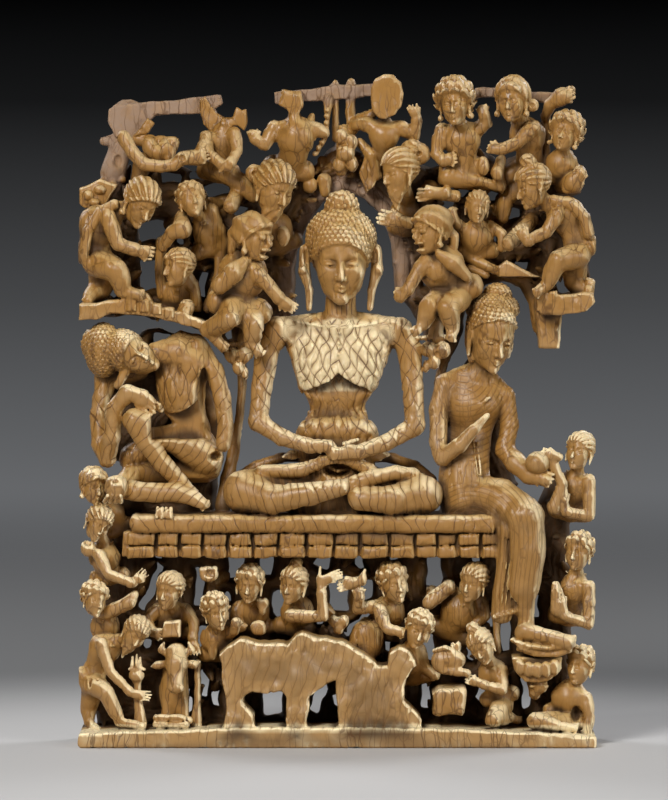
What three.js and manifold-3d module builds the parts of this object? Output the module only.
// A small carved relief of ivory, cut as one openwork block with a flat back.
// A fasting ascetic sits on a long seat under an arch, with a second ascetic on the left, a teacher on the
// right, a crowd in the trees above and a crowd, cattle and broken faces below.
// Millimetres. X runs to the right of someone who faces the carving, Z runs up, and the back is at +Y.

import * as THREE from "three";
import { mergeVertices } from "three/addons/utils/BufferGeometryUtils.js";
import Module from "manifold-3d";

const wasm = await Module();
wasm.setup();

// Driving dimensions of the block.
const BLOCK_WIDTH = 95.6;
const BLOCK_DEPTH = 22.5;
const BLOCK_HEIGHT = 124;

// Sides of the faceted sections.
const SMALL_SIDES = 4;
const THIN_SIDES = 3;
const THIN_RADIUS = 1.75;
const HEAD_SIDES = 5;
const LARGE_HEAD_SIDES = 8;
const OVAL_SIDES = 6;
const OVAL_RINGS = 3;

// Directions of an opening's corners at its two ends, in degrees. Openings under this radius have four.
const SMALL_OPENING = 1.5;
const SLIM_OPENING_TURNS = [[130, 230], [310, 50]];
const WIDE_OPENING_TURNS = [[120, 180, 240], [300, 0, 60]];

// A chain that turns by more than this at a point is made as two chains that meet there.
const SHARP_BEND = THREE.MathUtils.degToRad(70);

// Length of a limb's end tip, as a share of its radius.
const TIP_SHARE = 0.55;

// Corners of the joined solid nearer than the reach are drawn together. The other values are the furthest a
// corner may move, the least cosine between a face before and after, twice the least area of a face, and how
// far two corners that meet are parted.
const WORN_REACH = 1.5;
const WORN_SHIFT = 1.2;
const FOLD_LIMIT = 0.45;
const SLIVER_AREA = 0.002;
const PARTING = 0.03;

// Sections of a figure, as shares of the height of its head.
const TRUNK_SECTIONS = [[0.2, 0.18], [0.4, 0.3], [0.33, 0.26], [0.36, 0.3]];
const ARM_RADII = [0.17, 0.145, 0.12, 0.14];
const LEG_RADII = [0.29, 0.23, 0.16, 0.12];
const TRUNK_BACK = 3;
const ROOTED_DEPTH = 6;
const ROOT_DEPTH = -3;
const PANEL_TOP = 108;

// Rows of a head's surface, and how each way of wearing the hair widens it.
const SMALL_HEAD_ROWS = [
  [0.38, 0.3, 0.26, 0.34], [0.12, 0.42, 0.38, 0.44], [-0.08, 0.34, 0.48, 0.34], [-0.32, 0.24, 0.34, 0.16],
];
const LARGE_HEAD_ROWS = [
  [0.46, 0.2, 0.16, 0.24], [0.3, 0.36, 0.34, 0.38], [0.14, 0.39, 0.38, 0.42], [0.04, 0.36, 0.34, 0.4],
  [-0.12, 0.34, 0.47, 0.34], [-0.26, 0.28, 0.38, 0.22], [-0.42, 0.17, 0.34, 0.1],
];
const HAIR_LINE = 0.1;
const CROWN_LINE = 0.25;
const HAIR = {
  cap: { full: 0.94 },
  curls: { full: 1.08 },
  swept: { full: 1.04 },
  wig: { full: 1.3 },
  turban: { full: 1.06, top: 1.5 },
  bun: { knot: [0.1, 0.56, 0.2] },
  topknot: { knot: [0.06, 0.56, 0.2] },
  bound: { full: 1.02, knot: [0.42, 0.42, 0.25] },
};

// The seat's rows of blocks: heights, grooves between the blocks, and how far they stand forward.
const SEAT_ROWS = [[34.9, 36.9], [37.3, 39]];
const SEAT_GAPS = [
  -38.9, -33.4, -29.1, -24.8, -20, -15.5, -10.7, -5.6, -0.6, 4.2, 9.6, 14.4, 18.4, 22.2, 26.5, 31,
];
const SEAT_GROOVE = 0.7;
const SEAT_CORE_FRONT = 17;
const SEAT_BLOCK_FRONT = 18.6;

// Depths in the lists are measured forwards from the flat back of the block.
const place = (x, z, depth) => new THREE.Vector3(x, BLOCK_DEPTH / 2 - depth, z);

// Small figures. Size is the height of the head; points are [x, z, depth] from neck to hips, from
// shoulder to hand and from hip to toes; turn is [to the right, downwards, sideways] in degrees.

const SMALL_FIGURES = {
  "left_raider": {
    "size": 8, "head": [-36, 100.3, 16.5], "turn": [35, 15, 12], "hair": "cap",
    "trunk": [[-40.2, 98.9, 14], [-44, 96, 13.5], [-44.9, 92.5, 13], [-44.3, 89.8, 13]],
    "arms": [[[-42.3, 97.6, 16.5], [-40.4, 92.6, 17], [-37, 91.6, 17.5], [-33.8, 90.8, 17.5]]],
    "legs": [
      [[-44.3, 89, 14], [-40.5, 87.8, 17], [-39.4, 84, 16], [-36.6, 83.3, 17]],
      [[-43.5, 87, 10], [-43.3, 84.8, 9], [-45.7, 82.9, 12], [-46, 82.2, 13]],
    ],
  },
  "arms_crossed": {
    "size": 7, "trunk": [[-21.6, 113.2, 10.5], [-21.5, 111.3, 10], [-21.6, 108.6, 9.5], [-22, 106, 8]],
    "arms": [
      [[-24.2, 112.4, 12], [-23.7, 109.4, 13.5], [-21.3, 107.3, 15.5], [-20.5, 106.4, 15.5]],
      [[-18.9, 113, 12], [-18.4, 109.9, 13.5], [-19.7, 107.4, 15.5], [-20.3, 106.4, 15.5]],
    ],
  },
  "curled_head": {
    "size": 6.8, "head": [-26.8, 100.6, 15], "turn": [15, -15, -8], "hair": "curls",
    "trunk": [[-25.3, 97.3, 11], [-24, 95, 9.5], [-23.4, 91.8, 9]],
  },
  "left_listener": {
    "size": 7, "head": [-29.3, 88.2, 15], "turn": [-25, 15, -22], "hair": "curls",
    "trunk": [[-29.6, 84.9, 11], [-29.6, 83.2, 9.5], [-29, 81.2, 9]],
    "arms": [[[-27.4, 86.2, 11.5], [-26.2, 83.6, 11], [-26.1, 80.8, 10.5]]],
  },
  "goblin": {"size": 4.2, "head": [-28, 80.4, 14.5], "turn": [-10, -20, 15], "hair": "cap"},
  "left_demon": {
    "size": 7.4, "head": [-14.9, 93.6, 17.5], "turn": [48, 0, 5], "hair": "bun",
    "trunk": [[-16, 89.4, 16], [-17.4, 87, 15.5], [-18.6, 84, 15], [-18.1, 81, 14.5]],
    "arms": [[[-15.6, 87.9, 17.5], [-12.7, 85.2, 18], [-10.6, 82.6, 18.5], [-8.7, 81, 18.5]]],
    "legs": [
      [[-18.8, 81.7, 15], [-19.8, 78.9, 19], [-24, 76.7, 15.5], [-21, 73.8, 16]],
      [[-17.2, 80.3, 14.5], [-15.2, 77.8, 17.5], [-15.8, 74.5, 16.5], [-14.4, 72.8, 17.5]],
    ],
  },
  "left_elder": {
    "size": 9.2, "head": [-10.6, 102.7, 16], "turn": [36, 4, 4], "hair": "swept", "beard": 1,
    "trunk": [[-12, 98, 10], [-11.3, 95.5, 8.5], [-10.3, 92.5, 7]], "build": 0.72,
  },
  "hollow_head": {
    "size": 7.4, "trunk": [[-7.7, 114.6, 12], [-7.6, 112.6, 12], [-7.9, 109.4, 11], [-9, 106.6, 8.5]],
    "arms": [
      [[-11.6, 114.2, 12], [-13.3, 110.8, 13], [-15.2, 112, 13], [-15.7, 113.6, 13]],
      [[-4.4, 114, 12], [-2.3, 113.1, 12]],
    ],
    "build": 1.15,
  },
  "disc_face": {
    "size": 7.6, "trunk": [[8.8, 115.2, 12], [8.7, 112.8, 12], [8.6, 109.8, 10.5], [8.4, 106.8, 8]],
    "arms": [
      [[6.3, 114.4, 12], [4.5, 114.9, 11], [3, 114.4, 10]],
      [[11.8, 114.2, 12], [14.3, 112.5, 12], [14.8, 115.8, 13], [13.7, 118.2, 14]],
    ],
  },
  "right_elder": {
    "size": 9.2, "head": [11.5, 105.9, 16], "turn": [-36, 4, -4], "hair": "bound", "beard": 1,
    "trunk": [[13, 101, 10], [12.6, 98.5, 8.5], [12.8, 95.5, 7.5]], "build": 0.72,
  },
  "right_demon": {
    "size": 7.2, "head": [16.9, 94.9, 17.5], "turn": [-48, 0, -5], "hair": "bun",
    "trunk": [[17.7, 90.6, 16], [19.3, 88.2, 16], [21, 85.6, 15], [21.5, 83.3, 14.5]],
    "arms": [[[16.4, 89.4, 17], [14.6, 87, 18], [12.9, 84, 18.5], [11, 82.8, 18.5]]],
    "legs": [
      [[20.2, 83, 14.5], [17, 81.2, 17], [16, 78, 16.5], [14.5, 76.6, 17.5]],
      [[22.6, 82.9, 15], [20.4, 80.9, 18.5], [21.3, 77.2, 17], [21, 75.6, 18]],
    ],
  },
  "wigged_dancer": {
    "size": 8, "head": [21.7, 118.4, 16.5], "turn": [-12, 0, -5], "hair": "wig",
    "trunk": [[22.7, 114.2, 13], [23, 112, 13], [23.4, 109, 12.5], [23.4, 106.6, 11.5]],
    "arms": [
      [[19.3, 113.6, 13], [18.4, 109.4, 13.5], [19.6, 108, 14.5], [21.9, 108.7, 15]],
      [[25.4, 113.6, 13], [27.6, 114.8, 13], [27.1, 116.6, 14], [26.5, 118, 14.5]],
    ],
    "legs": [[[23.6, 105.9, 11], [20.6, 105, 12.5], [25.8, 104.4, 12], [30.4, 103, 11]]],
  },
  "leaning_dancer": {
    "size": 8, "head": [32.3, 119, 15.5], "turn": [-16, 0, 0], "hair": "turban",
    "trunk": [[34, 115.4, 11.5], [35.1, 112.6, 11], [35.6, 109.4, 10.5], [35.8, 106.6, 9]],
    "arms": [[[36.2, 114.2, 13.5], [33.2, 111.2, 15], [30, 110, 15.5], [27.9, 110.6, 15.5]]],
  },
  "frilled_head": {
    "size": 7, "head": [42.1, 112.9, 14.5], "turn": [-18, -8, 12], "hair": "wig",
    "trunk": [[41.8, 109.2, 12], [41.6, 107.4, 11], [42.2, 105.4, 10]],
  },
  "right_raider": {
    "size": 8, "head": [36, 103.2, 16.5], "turn": [-50, 12, -6], "hair": "topknot",
    "trunk": [[39.2, 99.9, 15], [42.2, 98, 14], [43.9, 94.6, 14], [44.3, 91, 14]],
    "arms": [[[40.8, 98.5, 16.5], [38.6, 94.9, 17.5], [35, 93.2, 18], [33.2, 96, 18]]],
    "legs": [
      [[44.5, 90.5, 15], [40.7, 89.7, 17.5], [38.7, 85.3, 17], [36.9, 83.9, 18]],
      [[44, 87.6, 11], [43.6, 85.8, 11], [46.3, 83.4, 12.5], [46.8, 85.4, 13]],
    ],
  },
  "small_dancer": {
    "size": 6.2, "head": [25.9, 99.4, 14], "turn": [12, 0, 10], "hair": "cap",
    "trunk": [[25.9, 96.2, 11], [25.8, 94, 10.5], [26, 91.4, 9.5]],
    "arms": [[[23.2, 95.5, 11], [21.8, 96.8, 12], [21.3, 98.7, 12]], [[28.2, 96, 9.5],
      [30.6, 94.4, 11.5], [30.5, 91.9, 12]]],
    "build": 1.15,
  },
  "upper_left_watcher": {
    "size": 6.4, "head": [-45, 47.8, 14.5], "turn": [30, 5, 5], "hair": "turban",
    "trunk": [[-43.2, 44.6, 12.5], [-41.6, 42.8, 11.5], [-40.2, 40, 11]], "build": 0.8,
  },
  "middle_left_watcher": {
    "size": 6.6, "head": [-44.1, 41.1, 16], "turn": [30, 10, 25], "hair": "swept",
    "trunk": [[-43.2, 37.3, 13], [-43, 34.6, 12.5], [-42.2, 31, 10]],
    "arms": [[[-44, 35.2, 16], [-42.2, 31.8, 17.5], [-37.6, 30, 17.5], [-35.3, 32.3, 17]]],
  },
  "lower_left_watcher": {
    "size": 6.4, "head": [-44.8, 27, 16], "turn": [35, 0, 12], "hair": "curls",
    "trunk": [[-43.8, 23.6, 13.5], [-43, 21.8, 12], [-42.2, 18.5, 9]],
  },
  "kneeling_donor": {
    "size": 6.4, "head": [-37.3, 20.8, 17], "turn": [28, 18, 28], "hair": "swept", "beard": 1,
    "trunk": [[-40.4, 19.3, 15], [-43, 17.6, 14], [-44.6, 14.4, 13], [-45.4, 11.4, 13.5]],
    "arms": [[[-43.6, 18.8, 16.5], [-41.9, 13.8, 17.5], [-38, 9.8, 18], [-34.4, 9.2, 18]]],
    "legs": [
      [[-45.2, 11.2, 14.5], [-42.6, 9.8, 17.5], [-40.1, 4.5, 17], [-35.9, 3.7, 18]],
      [[-45.6, 9, 11], [-46.2, 6.4, 10], [-46, 4, 11], [-44.6, 2.8, 13]],
    ],
    "build": 1.1,
  },
  "herdsman": {
    "size": 7, "head": [-31, 28.4, 14.5], "turn": [-22, 5, 8], "hair": "swept",
    "trunk": [[-30.7, 25, 10], [-30.6, 23.4, 8.5], [-30.6, 20.4, 7.5]],
    "arms": [
      [[-33.2, 24.8, 9.5], [-35.5, 22.6, 10], [-34, 20.6, 12], [-32.2, 20.4, 14]],
      [[-28.2, 24.8, 9.5], [-26.5, 22.4, 10], [-26.8, 19.4, 11], [-26.2, 16.4, 12]],
    ],
  },
  "mirror_bearer": {
    "size": 6.6, "head": [-22.3, 24.7, 16], "turn": [22, 12, -8], "hair": "curls",
    "trunk": [[-22.4, 21.5, 12.5], [-22.4, 19.6, 11], [-22, 16.8, 9.5]],
    "arms": [[[-20.2, 20.6, 13], [-19, 21.2, 14.5], [-18.5, 22.8, 15.5]]],
  },
  "front_listener": {
    "size": 6.8, "head": [-16.2, 29.6, 13.5], "turn": [-8, 10, 5], "hair": "curls",
    "trunk": [[-15.9, 26.4, 10], [-15.6, 24.4, 8.5], [-15.4, 21.2, 7.5]],
    "arms": [[[-18.2, 25.2, 9], [-19, 23, 9.5], [-17.6, 21.6, 11]]],
  },
  "bangled_dancer": {
    "size": 7, "head": [-8.1, 29.6, 14.5], "turn": [-24, 8, 8], "hair": "bound",
    "trunk": [[-7.4, 26.4, 11], [-7.4, 24.6, 9.5], [-8, 21.4, 8]],
    "arms": [[[-8.6, 23.9, 15], [-2.6, 23.9, 16.5], [-2.9, 28.6, 16.5], [-2.8, 31.2, 16]]],
  },
  "gesturing_dancer": {
    "size": 7.2, "head": [10.5, 29.9, 14.5], "turn": [22, 8, -12], "hair": "curls",
    "trunk": [[9.8, 26.4, 11], [9.6, 24.4, 10], [8, 20.8, 8]],
    "arms": [
      [[8, 25.6, 12], [3.8, 25.1, 13.5], [4.2, 27.6, 15], [3.8, 28.9, 15.5]],
      [[7.9, 24.8, 14], [9, 21.6, 15.5], [11.8, 21, 16.5]],
    ],
  },
  "rider": {
    "size": 6.8, "head": [15, 21.5, 17], "turn": [12, 12, 18], "hair": "curls",
    "trunk": [[13.4, 18, 14], [13.6, 15.6, 12], [14, 12.4, 10]],
    "arms": [[[15.4, 17.4, 12], [16.2, 14.2, 12], [18.2, 12.6, 12]]],
  },
  "garland_bearer": {
    "size": 7.2, "head": [25.2, 30, 14.5], "turn": [-26, 10, 12], "hair": "curls",
    "trunk": [[23.6, 26.6, 11.5], [22.8, 24.6, 10], [20.8, 20.6, 8]],
    "arms": [
      [[21.6, 28, 10], [17.4, 26.4, 9], [17.6, 28.2, 8]],
      [[26.6, 27, 10], [27.4, 23.6, 10], [25.4, 21.8, 11]],
    ],
    "build": 1.1,
  },
  "kneeling_suppliant": {
    "size": 6.6, "head": [26.7, 18.4, 17], "turn": [-24, 14, -22], "hair": "topknot",
    "trunk": [[28.6, 15.2, 14.5], [28.8, 13.2, 13.5], [30.2, 8.8, 12]],
    "arms": [[[30.4, 14, 14], [30.6, 10.3, 16.5], [26.9, 11.4, 17.5], [23.8, 12.6, 17.5]]],
    "legs": [[[30.8, 7.2, 12], [28.8, 4.9, 17], [32, 4.8, 12], [33.6, 4.2, 10]]],
  },
  "seated_suppliant": {
    "size": 7, "head": [45, 14.6, 15], "turn": [-32, 0, 4], "hair": "curls",
    "trunk": [[43.6, 10.6, 14], [43, 8.8, 14], [42.4, 5.4, 13]],
    "arms": [[[46, 8.8, 15], [46.7, 5.2, 15.5], [46.2, 2.6, 16]]],
    "legs": [[[44, 3.9, 14], [36.6, 4.7, 18], [40.4, 3.9, 19], [43.6, 3.4, 19]]],
    "build": 1.1,
  },
  "upper_right_watcher": {
    "size": 7.2, "head": [44.8, 54.2, 15], "turn": [-25, -5, 8], "hair": "swept",
    "trunk": [[44.4, 50.4, 13.5], [44.2, 47.6, 13], [43.2, 43, 11]],
    "arms": [[[46.6, 48.9, 15], [46.6, 42.4, 16], [42.2, 43.2, 17], [41.2, 48.2, 17.5]]],
  },
  "lower_right_watcher": {
    "size": 7, "head": [44.7, 35.7, 15], "turn": [-25, 0, 5], "hair": "curls",
    "trunk": [[44.2, 31.8, 13.5], [44, 28.6, 13], [43, 23.6, 11]],
    "arms": [[[46.6, 29.3, 15], [46.5, 22.4, 16], [42, 24, 17], [40.4, 29.2, 17.5]]],
  },
};

// The three large figures. Chains are [x, z, depth, radius], trunk rows [z, x, half width, depth, half
// depth], and lumps [x, z, depth, half width, half height, half depth].

const LARGE_FIGURES = {
  "central_ascetic": {
    "sides": 4,
    "chains": [
      [[0.7, 83, 11, 2.8], [0.6, 80, 10.8, 3], [0.5, 77.5, 10.5, 4.2]],
      [[-1, 79.4, 10.4, 1.6], [-6, 78.6, 10.4, 2.2], [-11, 76.9, 10.8, 2.7], [-12.9, 73, 11.2, 2.3],
        [-13.9, 66, 12.2, 2], [-14.6, 59.8, 13.4, 1.9], [-10, 56.9, 15.8, 1.6], [-5, 55.4, 17.3, 1.35],
        [-1.2, 55.4, 17.8, 1.2]],
      [[2, 79.4, 10.4, 1.6], [7, 78.5, 10.4, 2.2], [11.6, 76.7, 10.8, 2.7], [13.4, 73, 11.2, 2.3],
        [14, 66, 12.2, 2], [14.4, 59, 13.6, 1.9], [8.4, 55.7, 16.4, 1.6], [4, 54.3, 17.8, 1.35],
        [-0.8, 54, 18.2, 1.2]],
      [[-6, 47, 11, 4.4], [-12.5, 47.4, 12.5, 4], [-17.2, 46.9, 15.4, 4], [-12, 45.6, 18.4, 2.8],
        [-5, 46.7, 19.2, 2.2], [0.6, 47.8, 19, 1.7]],
      [[6, 47, 11, 4.4], [12, 47, 12.5, 3.9], [15.8, 46.4, 15.2, 3.7], [10, 45.5, 18.6, 2.7],
        [4, 45.8, 18.8, 2.2]],
      [[1.2, 47.8, 17.6, 1.5], [6, 49.6, 17.6, 1.5], [11, 50.4, 16.2, 1.4], [14.4, 50.3, 15, 1]],
      [[-14, 50.6, 15.4, 1.3], [-6.4, 50.9, 16, 1.4], [-2.5, 52.6, 16.4, 1.2], [2.5, 52.6, 16.4, 1.2],
        [6, 51, 16, 1.4]],
      [[-5.9, 91.6, 11.8, 1], [-6.1, 87.6, 11.8, 1.1], [-5.1, 84, 12.4, 0.7], [-5.2, 80.8, 12.4, 0.6]],
      [[7.3, 91.6, 11.8, 1], [7.4, 87.8, 11.8, 1.1], [6.4, 84, 12.4, 0.7], [6.1, 80.8, 12.4, 0.6]],
    ],
    "trunk": [
      [79.2, 0.5, 6.5, 10.2, 2.4], [76.2, 0.5, 10.4, 10.4, 3.5], [72, 0.4, 9.3, 11, 4.3],
      [68.2, 0.3, 8.2, 11.3, 4.4], [65.3, 0.1, 7, 11.2, 3.8], [63.2, 0, 5.2, 9.6, 2.8],
      [60.6, 0, 5.4, 9.8, 2.8], [58.4, 0, 7.6, 11, 3.8], [55, 0, 7.5, 11.6, 4.2], [50, 0, 7, 11, 5],
      [42, 0, 9, 10, 6],
    ],
    "lumps": [[0.7, 93.6, 11.6, 6.5, 5.9, 5.2], [0.9, 99.3, 11.6, 3.1, 3.1, 2.2]],
    "head": {"at": [0.7, 89.2, 13.2], "size": 15.4, "turn": [0, 4, 0]},
  },
  "left_ascetic": {
    "sides": 4,
    "chains": [
      [[-33, 72.4, 12.5, 2.4], [-29.5, 72.4, 11.5, 3.2], [-27, 70, 11, 4]],
      [[-29, 75, 10.5, 1.6], [-26, 73.6, 11, 2.2], [-22.9, 69, 12, 2], [-21.2, 64, 13, 1.7],
        [-20.6, 59, 14, 1.5], [-21, 55.6, 14.5, 1.5]],
      [[-37, 69.5, 9, 2.4], [-43, 67.5, 10, 2], [-44, 61, 11.5, 1.8], [-43.7, 55.5, 12.5, 1.8],
        [-42.5, 52.9, 13.5, 1.6]],
      [[-42.5, 52.9, 13.5, 1.6], [-41.6, 57, 15.5, 1.7], [-41, 62.5, 16.5, 1.5], [-38.6, 65.2, 17, 1.6],
        [-35.8, 64.6, 17, 1.3], [-32.8, 62.2, 16.5, 0.9]],
      [[-24.5, 53, 12.5, 3.2], [-29.6, 56.4, 14.5, 2.8], [-34, 59, 16.5, 2.5], [-37.4, 60.2, 17.5, 2.1],
        [-35, 56, 17.6, 2], [-32, 52, 17, 1.8], [-29, 48.8, 16, 1.5], [-26.6, 46.6, 15.5, 1.2]],
      [[-24.5, 51, 10, 2.8], [-31, 50.4, 10, 2.2], [-37.6, 50, 11, 2.2], [-40, 47.6, 14, 2],
        [-37, 47, 17, 1.9], [-33, 46.8, 17.8, 1.8], [-29.6, 46.9, 18, 1.8], [-26.4, 45.8, 18, 1.5],
        [-24.2, 44.7, 18, 0.9]],
      [[-38, 53, 10, 2.6], [-34, 56, 10.5, 2.6], [-30, 57, 10.5, 2.4]],
      [[-38.6, 70, 15, 1], [-40.5, 66.5, 15, 0.8]],
    ],
    "trunk": [
      [76, -28, 3, 9.5, 2.2], [73, -28, 6, 10, 3.2], [69, -27.8, 5.6, 10.5, 3.8],
        [65, -27.4, 5, 11, 3.8],
      [61.6, -26.8, 4.2, 10.4, 3.2], [58, -25.6, 3.6, 9.4, 2.8], [53.5, -25.2, 4.2, 10.6, 3.4],
      [49, -25.6, 3.6, 10, 3.2],
    ],
    "lumps": [[-41.8, 73, 12.6, 4.2, 5, 4.6], [-45.3, 74, 12, 1.9, 2.9, 2.4],
      [-40.6, 47.9, 18, 2.4, 2.3, 2.2]],
    "head": {"at": [-38, 72.2, 14], "size": 10.4, "turn": [14, 18, -62]},
  },
  "right_teacher": {
    "sides": 4,
    "chains": [
      [[27.2, 70.5, 11.6, 2.4], [26.4, 68, 11, 3]],
      [[24, 68.2, 10.6, 2.2], [20.4, 66.6, 11, 2.3], [18.7, 62, 12.2, 1.9], [18.7, 56, 13.6, 1.7],
        [19.4, 53.2, 15, 1.5], [22.6, 55.6, 16.6, 1.4], [25.4, 58.4, 17.2, 1.3],
          [28.3, 60.8, 16.8, 0.8]],
      [[28, 67.6, 10.6, 2], [31.2, 64.4, 11, 1.9], [32, 59, 11.6, 1.7], [31, 54.6, 12.8, 1.8],
        [33, 52.2, 14.4, 2], [35.6, 50, 16.4, 1.8], [38.4, 49.2, 18, 1.3]],
      [[24, 46.5, 12, 3.8], [30, 45.6, 15, 3.8], [34.5, 42.4, 18, 3.8], [35, 36, 18.2, 3.6],
        [34.2, 30, 17.4, 3.4], [34.4, 25.5, 16.6, 2]],
      [[22, 45.6, 10, 3.2], [29.5, 43.4, 16, 2.6], [31.6, 40, 17.6, 2.3], [31.6, 34, 17.2, 2.2],
        [31, 28, 16.4, 2.4], [30.4, 24.4, 16, 2.1]],
      [[34.9, 26, 16.4, 1.6], [34.9, 21.4, 16.4, 1.6]],
      [[34.4, 21, 17.2, 1.7], [38.4, 20.2, 18.4, 1.5], [43, 19.2, 19, 0.8]],
      [[24.4, 76.8, 12.8, 0.8], [24.5, 74, 13, 0.9], [24.8, 71.2, 13.4, 0.6]],
    ],
    "trunk": [
      [68.6, 25.4, 4, 10.4, 2.4], [66, 25.4, 6, 10.8, 3.4], [62.5, 25.4, 5.6, 11.4, 4],
      [58.5, 24.8, 4.4, 10.4, 3.4], [54.5, 24, 4.4, 11, 3.8], [50, 23.6, 4.8, 11.6, 4.6],
      [45.5, 23.8, 5, 11.4, 5.4], [41.4, 24.8, 5, 10.6, 5.6],
    ],
    "lumps": [[28.6, 79.4, 11.8, 5.2, 4.2, 4.8], [29.7, 83.2, 11.4, 2.6, 2.1, 2.1],
      [37.2, 52, 18, 2.5, 2, 2.4]],
    "head": {"at": [28.5, 75.4, 13.4], "size": 12.4, "turn": [24, 16, 4]},
  },
};

// Stems, bars, single limbs and cattle, as chains of [x, z, depth, radius].

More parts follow.
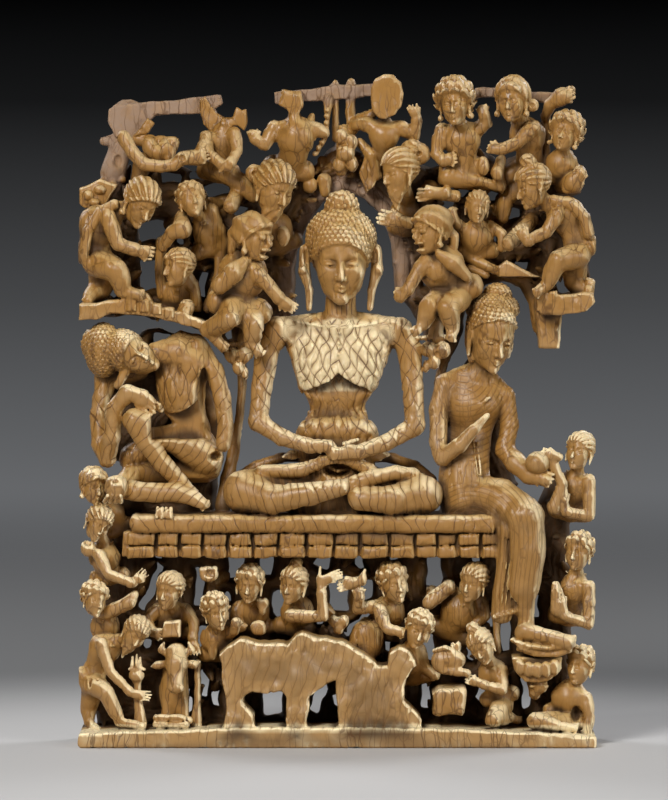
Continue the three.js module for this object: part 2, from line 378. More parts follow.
const STEMS = {
  "weathered_frame": {"sides": 4, "lines": [
    [[-41.2, 116.6, 5.5, 1.8], [-38, 117.4, 5.5, 2], [-30, 118, 5.5, 1.6], [-24, 118.4, 5.5, 1.6],
      [-21.9, 119, 5.5, 1.2]],
    [[-39, 117, 5.5, 2.6], [-38.6, 113.4, 6, 2.6], [-40.4, 109.6, 6.5, 2.1], [-41.6, 106, 7, 2.3],
      [-41.8, 103.6, 7, 1.8]],
    [[-40, 112, 6, 1.2], [-43.2, 111.6, 7, 0.9]],
    [[-11.4, 119.5, 5, 1.2], [-6, 119.8, 5, 1.3], [0, 120.5, 5, 1.4], [6.6, 121, 5, 1.3]],
    [[24, 119.6, 12, 1], [26, 120.6, 8, 1], [29.6, 120.7, 8, 1], [31, 119.6, 12, 1]],
    [[35.6, 119.8, 7, 1], [40.4, 119.8, 7, 1], [42, 119.8, 11, 1]],
    [[-24.6, 119, 6.5, 1.3], [-23.8, 116.6, 8, 1.4], [-23, 114.4, 9.5, 1.4]],
  ]},
  "arch_band": {"sides": 4, "lines": [
    [[-9.6, 79, 5, 1.1], [-9.4, 88, 5, 1.1], [-8, 92.6, 5.5, 1], [-6, 97.4, 5.5, 1],
      [-3.6, 101, 5.5, 1.1], [1.6, 103.8, 5.5, 1.2]],
    [[1.6, 103.8, 5.5, 1.2], [5.8, 101.8, 6, 1.2], [8.6, 99.2, 6, 1.2], [11, 94.6, 6, 1.4],
      [12, 89, 6, 1.6], [12.2, 83.6, 6, 1.5]],
  ]},
  "tree_stems": {"sides": 4, "lines": [
    [[-24.5, 78.5, 5, 1.6], [-21, 73.6, 5, 1.2], [-17.8, 69.4, 5.5, 0.9], [-17.6, 66, 6, 0.8],
      [-18.2, 60, 6.5, 0.8], [-19.2, 54, 7, 1.1], [-20.4, 49, 8, 1.3], [-21.2, 44, 9, 1.4],
      [-21.2, 41, 9, 1.4]],
    [[-17.8, 69.4, 5.5, 0.9], [-18.4, 76, 6, 1.2], [-18.4, 83, 7, 1.4]],
    [[22.6, 80, 6, 1.2], [21.4, 74, 6, 1], [19.8, 70.4, 6, 0.9], [18.8, 66.5, 7, 0.9]],
    [[24, 82, 5, 1.1], [27, 86.2, 5.5, 1.2], [31, 86.8, 6, 1.2], [34.8, 85.6, 6, 1.2],
      [36.8, 81.6, 6, 1.3], [37.4, 77, 6, 1.2]],
    [[39.3, 80.5, 7, 2.3], [39.2, 77, 7, 2.1], [39.2, 73.8, 7, 1.7]],
    [[-42.6, 46.5, 9, 1.2], [-40.8, 42, 9, 1.4], [-40, 37.5, 9, 1.4]],
    [[-37, 103.5, 3, 1.4], [-37, 103.5, 8, 1.4], [-36, 107.8, 8, 1.8]],
    [[-24, 106.6, 9, 1.5], [-20, 105.2, 10, 1.8], [-17.5, 103.6, 10, 1.8], [-15.4, 101.4, 10, 1.4]],
    [[-23.4, 98.6, 10, 1.6], [-22, 95, 9.5, 1.4], [-21.4, 91, 9, 1.1], [-22.2, 86, 9, 1],
      [-24, 80.6, 9, 1]],
    [[-32.4, 93, 11, 1.1], [-32.9, 88, 10, 0.9], [-32.4, 83, 10, 1]],
    [[-18, 103.2, 9, 1.3], [-19.6, 99.6, 12, 1.5]],
    [[17.2, 103, 8, 1.5], [16.4, 99.5, 8, 1.3], [17.2, 96, 8, 1.3]],
    [[33.8, 103.6, 8, 1.7], [31.4, 100.8, 8, 1.5], [30.6, 97.4, 8, 1.3]],
    [[20, 104.6, 9, 1.3], [25, 103.8, 9, 1.5], [30, 104.4, 9, 1.6], [35.6, 107.2, 9, 1.7]],
    [[38.6, 104, 9, 1.2], [38.6, 110, 9, 1], [38.8, 116.6, 9, 1]],
    [[-37.2, 112, 9, 1.2], [-33, 111.2, 10, 1.4], [-30.2, 111.4, 11, 1.1], [-31, 108.4, 12, 0.9]],
    [[2.6, 122.4, 7, 0.9], [2.5, 117, 8, 0.9], [2.8, 113.4, 9, 1]],
    [[-0.3, 122.4, 7.5, 0.6], [-0.3, 112, 8, 0.7]],
    [[-16.2, 77, 12, 2], [-18, 72, 14, 1.9], [-17.4, 69, 14, 1.2]],
    [[18.4, 76, 12, 2], [18.2, 72, 14, 1.9], [19.4, 69.6, 14, 1.2]],
    [[29.4, 26, 9, 0.7], [29.8, 17, 11, 0.7]],
    [[36.6, 9.2, 13, 1.2], [36.6, 13, 13, 1.8]],
    [[-25.8, 15, 15, 0.6], [-25.8, 9, 15, 0.6], [-26, 4, 15, 1.1]],
    [[-36.6, 16, 17.5, 1.6], [-36.6, 10.6, 17.5, 0.9], [-36, 4, 16, 1.6]],
    [[41.6, 103.2, 9, 1.3], [43.6, 104, 13, 2], [45, 105.6, 14, 1.2]],
  ]},
  "big_arms": {"sides": 4, "lines": [
    [[-39.4, 112.3, 14, 1.4], [-37.8, 109.6, 15, 1.2], [-35.6, 107.3, 15.5, 1.2],
      [-32.5, 106.9, 16, 1.1], [-30.2, 107.2, 16, 1.1], [-28.4, 108.5, 15.5, 1.3],
      [-25.4, 108.6, 14.5, 1.5], [-24.4, 110.8, 13, 1.4]],
    [[-28.8, 97.6, 13, 1.2], [-28.5, 95.4, 16.5, 1.8], [-30.4, 94.8, 16, 1.2], [-32.2, 92, 14, 1.1]],
    [[-21, 113.6, 10.5, 1.6], [-19.4, 115.6, 11, 1.2], [-18.4, 117.8, 11, 0.8],
      [-17.4, 115.8, 11, 1.1], [-16.6, 113.6, 11, 0.5]],
    [[13.6, 96.6, 12, 1.2], [10.4, 97.3, 14, 2.4]],
    [[21.9, 101.4, 12, 1.1], [17.6, 102, 13, 1.8], [14.6, 101.6, 13, 1.6]],
    [[43.2, 121, 12, 0.9], [41.4, 119.8, 13, 1.7], [39.4, 118.4, 12, 1.1], [38.6, 116.2, 10, 1]],
    [[30.4, 103.4, 12, 0.9], [29.8, 106, 14, 1.7], [30.4, 108.2, 12, 1]],
    [[36.2, 97, 8, 1.4], [31.6, 92.6, 15, 1.4]],
    [[-4.6, 116.3, 10, 0.6], [-5.2, 114.4, 11, 1]],
    [[2, 113.2, 9, 1.2], [4.4, 115.6, 9.5, 1.2], [6.2, 116.4, 10.5, 1.1]],
    [[1.2, 113.8, 11, 1.2], [1.2, 110, 11.5, 2.4], [0.6, 106.4, 11, 2]],
    [[4.2, 111.4, 10, 0.8], [6.4, 109, 11, 1.1], [7.6, 105.2, 10.5, 0.9]],
    [[-2.4, 102.8, 5, 1.6], [-2.3, 104.4, 8, 1.4]],
    [[-5.4, 103, 4, 1.4], [-5.1, 103.4, 8, 1.1]],
    [[-1.6, 119.4, 9.5, 1.3], [-1.8, 116, 10, 0.7], [-2, 112.6, 10.5, 0.7], [-3.8, 109.4, 11, 0.7]],
    [[20.6, 29, 12, 1.4], [17, 26.2, 13, 1.4]],
    [[40, 44, 17, 1.3], [41.6, 48.4, 17, 1], [39.2, 53, 17, 1.3], [36.8, 53.6, 17, 1]],
    [[40.6, 25, 16.5, 1.3], [40.4, 29.6, 16.5, 1]],
    [[-42.6, 24.4, 14.5, 1.3], [-38.4, 26.4, 16, 1.3], [-37.4, 28, 16, 0.8]],
  ]},
  "cattle": {"sides": 4, "lines": [
    [[-29.7, 16.6, 16.5, 1.9], [-29.7, 14, 18, 1.8], [-29.7, 11.2, 18.6, 1.5]],
    [[-29.8, 13, 14, 2.2], [-30, 8, 14, 1.9], [-30.4, 4, 13, 2.4]],
    [[-31.2, 16.2, 16.5, 0.7], [-32.2, 17.4, 16.5, 0.6], [-31.6, 18.6, 16.5, 0.3]],
    [[-28.2, 16.2, 16.5, 0.7], [-27.2, 17.4, 16.5, 0.6], [-27.8, 18.6, 16.5, 0.3]],
    [[-31.6, 15, 16.5, 0.7], [-33.8, 15, 16, 0.5]],
    [[-27.8, 15, 16.5, 0.7], [-25.8, 15.3, 16, 0.5]],
    [[-33, 4.6, 16, 1], [-27.2, 4.4, 17, 1]],
  ]},
};

// Flat pieces: the base, the seat, ledges and broken faces, as outlines in X and Z between two depths.

const FLAT_PIECES = {
  "base": {"depth": [0, 22.5], "outline": [[-47.8, 0.6], [-47.2, 0], [47.4, 0], [47.8, 0.5],
    [47.6, 2.2], [40, 2.7], [16, 3.7], [-12, 3.9], [-34, 3.2], [-47.4, 2.7]]},
  "throne_core": {"depth": [2, 17], "outline": [[-39.6, 35], [30.6, 35], [30.6, 39.6], [-39.6, 39.6]]},
  "cushion": {"depth": [2, 19.4], "outline": [[-38.4, 40.4], [-37.6, 39.4], [28.8, 39.4],
    [29.4, 40.4], [29.4, 41.8], [28.6, 42.8], [-37.6, 42.8], [-38.4, 41.8]]},
  "front_animal": {"depth": [11, 21.4], "outline": [[-21.3, 17], [-20, 19], [-17, 19.8], [-9.2, 18.9],
    [-7, 21.3], [-5.3, 21.3], [-3, 20.3], [0.8, 19.8], [6, 16.3], [9.5, 15], [9.8, 18], [13.7, 17.8],
    [14.7, 15], [12.9, 12.5], [12.4, 9], [15.6, 5], [15.6, 3], [2.4, 3], [2.6, 9.2], [-1, 11.4],
    [-1.6, 3], [-8.4, 3], [-8.6, 9.4], [-10.4, 10.5], [-17, 10.3], [-18.2, 8.6], [-18.6, 3],
    [-21.2, 3], [-20.2, 8]]},
  "right_broken_figure": {"depth": [5, 20.8], "outline": [[17.7, 6], [20.4, 5.4], [24, 7],
    [23.8, 10.8], [20.6, 11.2], [17.8, 9.4]]},
  "round_shield": {"depth": [5, 18.6], "outline": [[17.8, 13.4], [19.4, 12.8], [23.4, 13.2],
    [24, 15.4], [23, 17.6], [19.6, 17.9], [17.8, 16.4]]},
  "left_ledge": {"depth": [3, 16.5], "outline": [[-47.6, 78.7], [-44.3, 78.6], [-42, 79.8],
    [-36, 79.5], [-30, 78.3], [-25, 76.8], [-23.6, 78], [-28, 80], [-33.6, 81.2], [-35, 83.6],
    [-38.6, 83.8], [-39.4, 82.6], [-44, 81.8], [-47.6, 81.6]]},
  "right_ledge": {"depth": [3, 17], "outline": [[36.7, 80.4], [38, 79.6], [41.5, 79.5], [46, 80.3],
    [47.5, 81.9], [47.2, 83.8], [41, 83.2], [38.6, 84], [36.7, 83.2]]},
  "corner_block": {"depth": [3, 12], "outline": [[-47.7, 99.8], [-46.6, 99.1], [-43, 99.4],
    [-40.6, 103.6], [-43.8, 104.6], [-47.6, 102.9]]},
  "facet_pink": {"depth": [4, 14], "outline": [[30, 86.4], [33.2, 86.6], [38, 86.4], [34, 88.2],
    [31.4, 89.6], [30, 88.6]]},
  "footstool": {"depth": [8, 21.5], "outline": [[32.2, 16.6], [33.6, 16.2], [43.9, 16.4], [44, 18.2],
    [40.6, 19], [36, 19.6], [32.4, 18.8]]},
  "footstool_petals": {"depth": [8, 20.5], "outline": [[34.8, 11.8], [38.6, 11.8], [41.4, 14],
    [41.6, 16.5], [32.4, 16.5], [32.6, 14]]},
  "broken_face_disc": {"depth": [9, 15.5], "outline": [[7.2, 116.6], [9, 115.7], [11, 116.8],
    [11.9, 119.4], [11.8, 122], [10.2, 124], [8, 123.8], [6.5, 121.6], [6.3, 119]]},
  "hollow_head_stub": {"depth": [8, 14], "outline": [[-8.9, 114], [-6.9, 114], [-6.9, 117],
    [-6, 118.2], [-6.6, 120.8], [-10.2, 121.2], [-10.7, 118.4], [-8.8, 117.2]]},
};

// Pierced panels at the back. Openings are slots [x, z, x, z, radius].

const PANELS = {
  "lower": {
    "thick": 6,
    "outline": [[-45, 2.5], [45, 2.5], [45.6, 9], [43.6, 11], [43.8, 38], [44.2, 50], [40, 50],
      [38, 44], [31, 36], [31, 39], [-39, 39], [-39, 43], [-44, 48], [-45, 38], [-44.5, 20], [-46, 10]],
    "openings": [
      [-33.2, 32, -36.2, 25, 0.7], [-33.3, 22.5, -33.3, 22.6, 0.8], [-28.2, 22, -28.2, 22.1, 0.7],
        [-35.5, 18, -35.5, 18.1, 0.7],
      [-25, 17.4, -25, 20.4, 0.9], [-25.4, 26, -25.4, 31, 0.9], [-20.3, 26.2, -20.3, 27.2, 0.6],
        [-18.7, 30.2, -18.7, 33.6, 1.2],
      [-27.8, 6, -27.8, 8.6, 0.9], [-24.8, 8.8, -24.8, 12.4, 0.7], [-22.5, 6.4, -22.5, 8.6, 0.6],
      [-10.8, 24, -10.8, 27, 1.3], [-13.2, 32, -13.2, 33.8, 1], [-3.3, 21.8, -3.3, 21.9, 0.6],
      [0.5, 25, 0.5, 25.4, 0.7], [-0.6, 28.2, 1.8, 28.2, 1.2], [5.9, 27.2, 5.9, 28.6, 1.1],
        [4.3, 32.6, 4.3, 33.8, 0.9],
      [2, 19.8, 5.6, 23.2, 0.6], [9.5, 15.6, 9.6, 18.8, 0.5], [18.1, 29.8, 18.1, 33.4, 1.3],
        [17, 15.6, 17, 23, 0.9],
      [28.6, 21.8, 28.6, 22.8, 0.6], [31.3, 17, 31.3, 23.2, 0.9], [25.1, 22.6, 25.1, 23.4, 0.5],
        [24.9, 15.2, 24.9, 17.5, 0.5],
      [26.6, 7.8, 27.6, 9.4, 1], [35.4, 6.8, 35.4, 10.6, 0.9], [16.4, 6.4, 16.4, 10, 0.8],
        [37, 22.9, 37, 26.4, 0.5],
      [-12, 6, -12, 8.6, 1.7], [-4, 6.2, -2.4, 10, 0.9], [0.6, 7.1, 0.6, 7.2, 1.2],
        [25.6, 33.4, 25.6, 33.8, 0.9],
      [-33.2, 34, -33.2, 34.1, 0.6], [10.8, 34, 10.8, 34.1, 0.7], [-1.8, 33.4, -1.8, 33.8, 0.8],
    ],
  },
  "behind_left_ascetic": {
    "thick": 7,
    "outline": [[-44.4, 54], [-44.8, 62], [-43.5, 70], [-36, 76.8], [-28, 76], [-23, 70], [-21.4, 60],
      [-21, 52], [-23, 41.5], [-40, 41.5], [-41.8, 49], [-38.5, 50.4], [-33, 51], [-39.5, 52.4],
      [-42, 52.2]],
    "openings": [[-33.8, 74.8, -31.6, 75, 0.8], [-42.4, 65.8, -41.8, 66.8, 0.7],
      [-30.6, 58.4, -30.2, 58.8, 0.8], [-36.6, 52.9, -34.8, 52.9, 0.9]],
  },
  "behind_right_teacher": {
    "thick": 7,
    "outline": [[19, 41], [30.6, 41], [34, 48], [31, 56], [31.6, 64], [29, 70], [31, 76], [29, 81],
      [26, 80], [24.5, 72], [21, 66], [20.6, 56]],
    "openings": [],
  },
  "upper": {
    "thick": 6,
    "outline": [[-46.8, 79], [-38, 79.2], [-30, 78.2], [-25, 76.8], [-21, 73.4], [-18.6, 69.6],
      [-16.9, 69.6], [-15.4, 72.4], [-14, 76.4], [-12, 78.6], [-8.4, 79], [-8.4, 90], [-7, 94],
      [-5.2, 97.5], [-3.3, 100.3], [-1.5, 102], [1.7, 103], [4.5, 102], [5.8, 101], [8.2, 98.3],
      [10, 95], [10.8, 92], [11, 84], [14, 80.4], [16.6, 75.4], [17.4, 70], [19.6, 69.4], [22.4, 74],
      [23.4, 80], [26, 84.6], [31.4, 86], [36, 84], [37, 79.6], [41.6, 79.6], [46.4, 80.6], [47, 83],
      [46.6, 96], [43.4, 100.4], [45.4, 102], [46, 106], [43.6, 109], [40, 108], [36, 110.6],
      [30, 107.4], [26.5, 110.4], [22, 108], [16.5, 106.6], [12, 109.4], [8, 108.5], [4, 110],
      [0.5, 112.6], [-1.5, 110], [-5, 107.5], [-9, 108.4], [-13, 105.2], [-16.6, 103.6], [-20, 106.8],
      [-24, 107.4], [-26, 106], [-29, 107], [-36, 108.4], [-39.5, 107], [-43.6, 106], [-44, 104],
      [-46.8, 103], [-46.8, 99.6], [-45.4, 96], [-46.2, 89], [-45.6, 83]],
    "openings": [
      [-38.8, 104, -38.8, 106.6, 0.5], [-32, 104.8, -29.8, 104.8, 1], [-26.2, 105, -25.2, 105, 0.8],
        [-23, 102.3, -20.5, 102.8, 1.1],
      [-35.8, 94.8, -33.2, 94.8, 1.8], [-35.2, 85.2, -35.2, 87.8, 1.8],
        [-24.8, 83.3, -24.3, 86.8, 0.8], [-28.8, 93, -28.8, 93.1, 0.6],
      [-25.6, 92.8, -25.6, 92.9, 0.5], [-22.8, 79.8, -22.8, 79.9, 1], [-42.7, 83.4, -41.8, 83.4, 0.6],
        [-19.5, 75.7, -19.5, 75.8, 0.9],
      [-18.3, 98.4, -18, 98.8, 1], [19.7, 106, 20.8, 106, 0.7], [22.8, 102, 23.7, 102, 0.9],
        [28.2, 101.2, 29.4, 101.2, 0.7],
      [32.4, 98.2, 33.6, 98.2, 1.1], [20, 98.8, 20.3, 103, 0.9], [34, 88.5, 35.5, 88.5, 0.5],
        [42.8, 84.8, 45, 84.8, 1.2],
      [16.8, 85.4, 16.8, 88.2, 0.7], [18.2, 77.2, 18.2, 79.4, 0.7], [22.8, 90.5, 23, 94, 1.2],
        [29.2, 93.4, 29.2, 94.6, 0.4],
    ],
  },
};

// Solids from geometries.

function solidFrom(geometry) {
  const bare = geometry.clone();
  bare.deleteAttribute("normal");
  bare.deleteAttribute("uv");
  const welded = mergeVertices(bare, 1e-5);
  return new wasm.Manifold(new wasm.Mesh({
    numProp: 3,
    vertProperties: Float32Array.from(welded.attributes.position.array),
    triVerts: Uint32Array.from(welded.index.array),
  }));
}

function geometryFrom(solid) {
  const mesh = solid.getMesh();
  const geometry = new THREE.BufferGeometry();
  geometry.setAttribute("position", new THREE.BufferAttribute(mesh.vertProperties, 3));
  geometry.setIndex(new THREE.BufferAttribute(mesh.triVerts, 1));
  return geometry;
}

function joined(solids) {
  let row = solids;
  while (row.length > 1) {
    const next = [];
    for (let i = 0; i < row.length; i += 2) {
      next.push(i + 1 < row.length ? row[i].add(row[i + 1]) : row[i]);
    }
    row = next;
  }
  return row[0];
}

function prism(outline, near, far) {
  const shape = new THREE.Shape(outline.map(([x, z]) => new THREE.Vector2(x, z)));
  const geometry = new THREE.ExtrudeGeometry(shape, { depth: far - near, bevelEnabled: false });
  geometry.rotateX(Math.PI / 2);
  geometry.translate(0, BLOCK_DEPTH / 2 - near, 0);
  return solidFrom(geometry);
}

function shell(points, corners) {
  const geometry = new THREE.BufferGeometry();
  const flat = points.flatMap((point) => point.toArray());
  geometry.setAttribute("position", new THREE.Float32BufferAttribute(flat, 3));
  geometry.setIndex(corners);
  return geometry;
}

// A skin over rings of points, closed by a tip at each end.

function skin(rings, firstTip, lastTip) {
  const sides = rings[0].length;
  const points = [firstTip, ...rings.flat(), lastTip];
  const last = points.length - 1;
  const at = (ring, side) => 1 + ring * sides + (side % sides);
  const faces = [];
  for (let side = 0; side < sides; side += 1) {
    faces.push(0, at(0, side + 1), at(0, side));
    for (let ring = 0; ring + 1 < rings.length; ring += 1) {
      faces.push(at(ring, side), at(ring, side + 1), at(ring + 1, side + 1));
      faces.push(at(ring, side), at(ring + 1, side + 1), at(ring + 1, side));
    }
    faces.push(last, at(rings.length - 1, side), at(rings.length - 1, side + 1));
  }
  return shell(points, faces);
}

// A tapered limb through nodes of { at, wide, deep }. Its sections have the area of ovals of those half
// sizes, and it ends in tips. The first tip may be a given point inside the body.

function limb(nodes, sides, startTip) {
  const count = nodes.length;
  const stretch = Math.sqrt((2 * Math.PI) / (sides * Math.sin((2 * Math.PI) / sides)));
  const along = nodes.map((node, i) => {
    const before = nodes[Math.max(i - 1, 0)].at;
    const after = nodes[Math.min(i + 1, count - 1)].at;
    return after.clone().sub(before).normalize();
  });
  const depthAxis = new THREE.Vector3(0, 1, 0);
  let across = new THREE.Vector3().crossVectors(along[0], depthAxis);
  if (across.length() < 0.2) across = new THREE.Vector3(1, 0, 0);
  const rings = nodes.map((node, i) => {
    across.addScaledVector(along[i], -across.dot(along[i])).normalize();
    const through = new THREE.Vector3().crossVectors(along[i], across);
    return Array.from({ length: sides }, (_, side) => {
      const angle = (2 * Math.PI * (side + 0.5)) / sides;
      return node.at.clone()
        .addScaledVector(across, stretch * node.wide * Math.cos(angle))
        .addScaledVector(through, stretch * node.deep * Math.sin(angle));
    });
  });
  const tip = (i, way) => {
    const reach = way * TIP_SHARE * Math.min(nodes[i].wide, nodes[i].deep);
    return nodes[i].at.clone().addScaledVector(along[i], reach);
  };
  return solidFrom(skin(rings, startTip || tip(0, -1), tip(count - 1, 1)));
}

// Limbs through [x, z, depth, radius] points, parted at sharp bends. The first may taper back to a root.

function chain(points, stoutSides, root) {
  const stoutest = Math.max(...points.map((point) => point[3]));
  const sides = stoutest < THIN_RADIUS ? THIN_SIDES : stoutSides;
  const nodes = points.map(([x, z, depth, radius]) => {
    return { at: place(x, z, depth), wide: radius, deep: radius };
  });
  const pieces = [];
  let start = 0;
  for (let i = 1; i < nodes.length; i += 1) {
    const isLast = i === nodes.length - 1;
    const before = nodes[i].at.clone().sub(nodes[i - 1].at);
    const bend = isLast ? 0 : before.angleTo(nodes[i + 1].at.clone().sub(nodes[i].at));
    if (isLast || bend > SHARP_BEND) {
      pieces.push(limb(nodes.slice(start, i + 1), sides, start === 0 ? root : undefined));
      start = i;
    }
  }
  return pieces;
}

function withRadii(points, radii, size) {
  return points.map(([x, z, depth], i) => [x, z, depth, radii[Math.min(i, radii.length - 1)] * size]);
}

function oval(x, z, depth, wide, high, deep) {
  const geometry = new THREE.SphereGeometry(1, OVAL_SIDES, OVAL_RINGS);
  geometry.rotateX(Math.PI / 2);
  geometry.scale(wide, deep, high);
  geometry.translate(...place(x, z, depth).toArray());
  return solidFrom(geometry);
}

// Heads. A head is built upright, looking forwards, and then turned, nodded and tilted.
// Its rows run from the crown to the mouth: [up, half width, forwards, backwards], as shares of its height.

function headRing([up, wide, forwards, backwards], size, sides) {
  return Array.from({ length: sides }, (_, side) => {
    const angle = (2 * Math.PI * side) / sides;
    const reach = Math.cos(angle) > 0 ? forwards : backwards;
    return new THREE.Vector3(-wide * Math.sin(angle), -reach * Math.cos(angle), up).multiplyScalar(size);
  });
}

function head({ at, size, turn, hair, beard }, rows, sides) {
  const [yaw, nod, tilt] = turn.map(THREE.MathUtils.degToRad);
  const pose = new THREE.Matrix4().makeRotationY(tilt)
    .multiply(new THREE.Matrix4().makeRotationZ(yaw))
    .multiply(new THREE.Matrix4().makeRotationX(nod));
  pose.setPosition(place(...at));
  const { full = 1, top = 1, knot } = HAIR[hair] ?? {};
  const dressed = rows.map(([up, wide, forwards, backwards]) => {
    if (up < HAIR_LINE) return [up, wide, forwards, backwards];
    return [up, wide * full * (up > CROWN_LINE ? top : 1), forwards, backwards * full];
  });
  const rings = dressed.map((row) => headRing(row, size, sides));
  const crown = new THREE.Vector3(0, 0.06, top > 1 ? 0.5 : 0.54).multiplyScalar(size);
  const chin = new THREE.Vector3(0, -0.2, beard ? -0.72 : -0.5).multiplyScalar(size);
  const solids = [solidFrom(skin(rings, crown, chin).applyMatrix4(pose))];
  if (knot) {
    const [back, up, radius] = knot;
    const geometry = new THREE.SphereGeometry(radius * size, SMALL_SIDES, OVAL_RINGS);
    geometry.translate(0, back * size, up * size);
    solids.push(solidFrom(geometry.applyMatrix4(pose)));
  }
  return solids;
}

// Whole figures. A small figure's trunk is deep enough to grow out of the panel behind it.

function smallFigure({ size, head: at, turn, hair, beard, trunk, arms = [], legs = [], build = 1 }) {
  const solids = [];
  if (at) solids.push(...head({ at, size, turn, hair, beard }, SMALL_HEAD_ROWS, HEAD_SIDES));
  if (trunk) {
    const nodes = trunk.map(([x, z, depth], i) => {
      const [wideShare, deepShare] = TRUNK_SECTIONS[i];
      const front = depth + deepShare * size;
      return {
        at: place(x, z, (front + TRUNK_BACK) / 2),
        wide: wideShare * size * build,
        deep: (front - TRUNK_BACK) / 2,
      };
    });
    solids.push(limb(nodes, SMALL_SIDES, at && place(...at)));
  }
  const chest = trunk && place(...trunk[1]);
  for (const arm of arms) solids.push(...chain(withRadii(arm, ARM_RADII, size), SMALL_SIDES, chest));
  const hips = trunk && place(...trunk[trunk.length - 1]);
  for (const leg of legs) solids.push(...chain(withRadii(leg, LEG_RADII, size), SMALL_SIDES, hips));
  return joined(solids);
}

function largeFigure({ sides, chains, trunk, lumps, head: face }) {
  const nodes = trunk.map(([z, x, wide, depth, deep]) => ({ at: place(x, z, depth), wide, deep }));
  const solids = [limb(nodes, 6), ...head(face, LARGE_HEAD_ROWS, LARGE_HEAD_SIDES)];
  for (const points of chains) solids.push(...chain(points, sides));
  for (const lump of lumps) solids.push(oval(...lump));
  return joined(solids);
}

// Flat pieces, pierced panels and the seat.

function panel({ thick, outline, openings }) {
  let solid = prism(outline, 0, thick);
  for (const [xLow, zLow, xHigh, zHigh, radius] of openings) {
    const along = Math.atan2(zHigh - zLow, xHigh - xLow);
    const corner = (x, z, turn) => {
      const angle = along + THREE.MathUtils.degToRad(turn);
      return [x + radius * Math.cos(angle), z + radius * Math.sin(angle)];
    };
    const ends = radius < SMALL_OPENING ? SLIM_OPENING_TURNS : WIDE_OPENING_TURNS;
    const corners = [
      ...ends[0].map((turn) => corner(xLow, zLow, turn)),
      ...ends[1].map((turn) => corner(xHigh, zHigh, turn)),
    ];
    solid = solid.subtract(prism(corners, -1, thick + 1));
  }
  return solid;
}

function block(xLow, xHigh, zLow, zHigh, near, far) {
  return prism([[xLow, zLow], [xHigh, zLow], [xHigh, zHigh], [xLow, zHigh]], near, far);
}

// Two rows of blocks under the cushion, parted by narrow grooves.

function seatBlocks() {
  const solids = [];
  for (const [zLow, zHigh] of SEAT_ROWS) {
    for (let i = 0; i + 1 < SEAT_GAPS.length; i += 1) {
      const left = SEAT_GAPS[i] + SEAT_GROOVE / 2;
      const right = SEAT_GAPS[i + 1] - SEAT_GROOVE / 2;
      solids.push(block(left, right, zLow, zHigh, SEAT_CORE_FRONT - 1, SEAT_BLOCK_FRONT));
    }
  }
  return solids;
}

// Draws corners of the solid that lie nearer to each other than reach together, as worn carving has them.
// Corners on the block's outer planes stay on them, none moves further than a set shift, and a pair that
// would fold the surface over is left. Where two corners still meet in one place, each is then drawn back
// into its own side, so that no edge is shared by four faces.

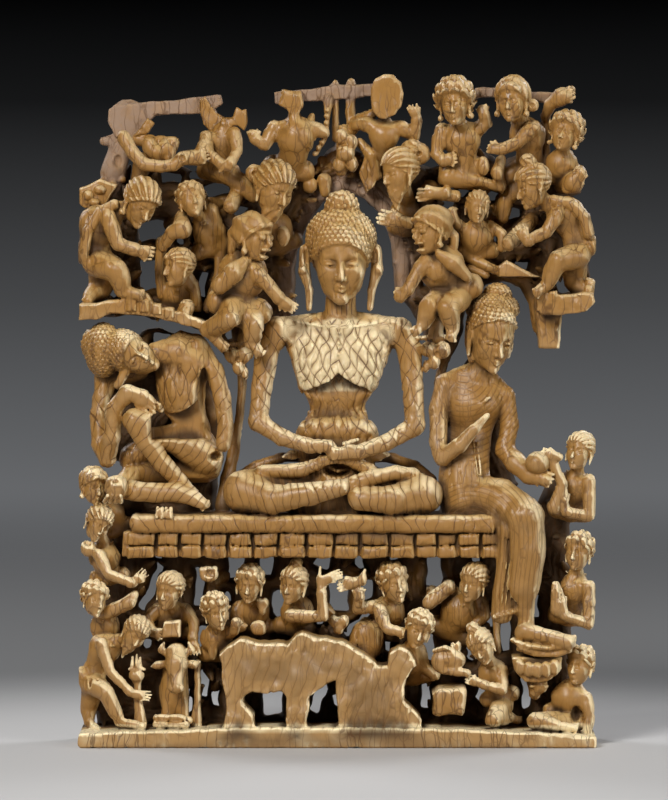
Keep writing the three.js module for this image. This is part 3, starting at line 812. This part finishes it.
function worn(solid, reach) {
  const mesh = solid.getMesh();
  const corners = [];
  for (let i = 0; i < mesh.vertProperties.length; i += 3) {
    corners.push(new THREE.Vector3().fromArray(mesh.vertProperties, i));
  }
  let faces = [];
  for (let i = 0; i < mesh.triVerts.length; i += 3) faces.push([...mesh.triVerts.slice(i, i + 3)]);
  const low = [-BLOCK_WIDTH / 2, -BLOCK_DEPTH / 2, 0];
  const high = [BLOCK_WIDTH / 2, BLOCK_DEPTH / 2, BLOCK_HEIGHT];
  const planes = (p) => p.toArray().map((v, axis) => {
    if (Math.abs(v - low[axis]) < 1e-3) return -1;
    return Math.abs(v - high[axis]) < 1e-3 ? 1 : 0;
  });
  const holds = (mine, other) => other.every((side, axis) => side === 0 || side === mine[axis]);
  const around = corners.map(() => new Set());
  const drift = corners.map(() => 0);
  faces.forEach((face, i) => face.forEach((corner) => around[corner].add(i)));
  const neighbours = (corner) => {
    const found = new Set([...around[corner]].flatMap((i) => faces[i]));
    found.delete(corner);
    return found;
  };
  const normal = (a, b, c) => b.clone().sub(a).cross(c.clone().sub(a));
  const folds = (keep, drop, meeting) => [keep, drop].some((moved) => [...around[moved]].some((i) => {
    const face = faces[i];
    if (face.includes(keep) && face.includes(drop)) return false;
    const before = normal(...face.map((corner) => corners[corner]));
    const after = normal(...face.map((corner) => (corner === moved ? meeting : corners[corner])));
    const turned = before.dot(after) < FOLD_LIMIT * before.length() * after.length();
    return turned || after.length() < SLIVER_AREA;
  }));
  const merge = (a, b) => {
    const mine = planes(corners[a]);
    const other = planes(corners[b]);
    if (!holds(mine, other) && !holds(other, mine)) return false;
    const nearB = neighbours(b);
    if ([...neighbours(a)].filter((corner) => nearB.has(corner)).length !== 2) return false;
    let meeting = corners[a].clone().add(corners[b]).multiplyScalar(0.5);
    if (!holds(other, mine)) meeting = corners[a].clone();
    if (!holds(mine, other)) meeting = corners[b].clone();
    const shift = Math.max(
      drift[a] + corners[a].distanceTo(meeting),
      drift[b] + corners[b].distanceTo(meeting),
    );
    if (shift > WORN_SHIFT || folds(a, b, meeting)) return false;
    drift[a] = shift;
    corners[a] = meeting;
    for (const i of [...around[b]]) {
      const face = faces[i];
      if (face.includes(a)) {
        face.forEach((corner) => around[corner].delete(i));
        faces[i] = null;
      } else {
        faces[i] = face.map((corner) => (corner === b ? a : corner));
        around[a].add(i);
      }
    }
    around[b].clear();
    return true;
  };
  let merged = true;
  while (merged) {
    merged = false;
    const pairs = [];
    for (const face of faces) {
      for (let k = 0; face && k < 3; k += 1) {
        const [a, b] = [face[k], face[(k + 1) % 3]];
        const apart = corners[a].distanceTo(corners[b]);
        if (a < b && apart < reach) pairs.push([apart, a, b]);
      }
    }
    pairs.sort((p, q) => p[0] - q[0] || p[1] - q[1] || p[2] - q[2]);
    for (const [apart, a, b] of pairs) {
      const unmoved = around[a].size > 0 && around[b].size > 0
        && Math.abs(corners[a].distanceTo(corners[b]) - apart) < 1e-6;
      if (unmoved && merge(a, b)) merged = true;
    }
  }
  faces = faces.filter(Boolean);
  const normals = corners.map(() => new THREE.Vector3());
  for (const face of faces) {
    const facing = normal(...face.map((corner) => corners[corner]));
    for (const corner of face) normals[corner].add(facing);
  }
  const met = new Map();
  corners.forEach((corner, i) => {
    if (around[i].size === 0) return;
    const where = corner.toArray().map((v) => v.toFixed(3)).join();
    met.set(where, [...(met.get(where) ?? []), i]);
  });
  for (const group of met.values()) {
    if (group.length === 1) continue;
    for (const i of group) corners[i].addScaledVector(normals[i].normalize(), -PARTING);
  }
  return solidFrom(shell(corners, faces.flat()));
}

// A sliver that is cut off by the joining or the wearing is dropped.

function largest(solid) {
  return solid.decompose().reduce((a, b) => (b.volume() > a.volume() ? b : a));
}

function carve() {
  const solids = [
    ...Object.values(LARGE_FIGURES).map(largeFigure),
    ...Object.values(SMALL_FIGURES).map(smallFigure),
    ...Object.values(FLAT_PIECES).map(({ depth, outline }) => prism(outline, ...depth)),
    ...Object.values(PANELS).map(panel),
    ...seatBlocks(),
  ];
  for (const { sides, lines } of Object.values(STEMS)) {
    for (const points of lines) {
      const [x, z, depth] = points[0];
      const rooted = depth > ROOTED_DEPTH && z < PANEL_TOP;
      solids.push(...chain(points, sides, rooted ? place(x, z, ROOT_DEPTH) : undefined));
    }
  }
  const envelope = block(-BLOCK_WIDTH / 2, BLOCK_WIDTH / 2, 0, BLOCK_HEIGHT, 0, BLOCK_DEPTH);
  const whole = largest(joined(solids).intersect(envelope));
  return largest(worn(whole, WORN_REACH));
}

const ivory = new THREE.MeshStandardMaterial({ color: 0xcfa974, roughness: 0.45, metalness: 0 });

const group = new THREE.Group();
const relief = new THREE.Mesh(geometryFrom(carve()), ivory);
relief.name = "ivory_relief";
group.add(relief);

export default group;
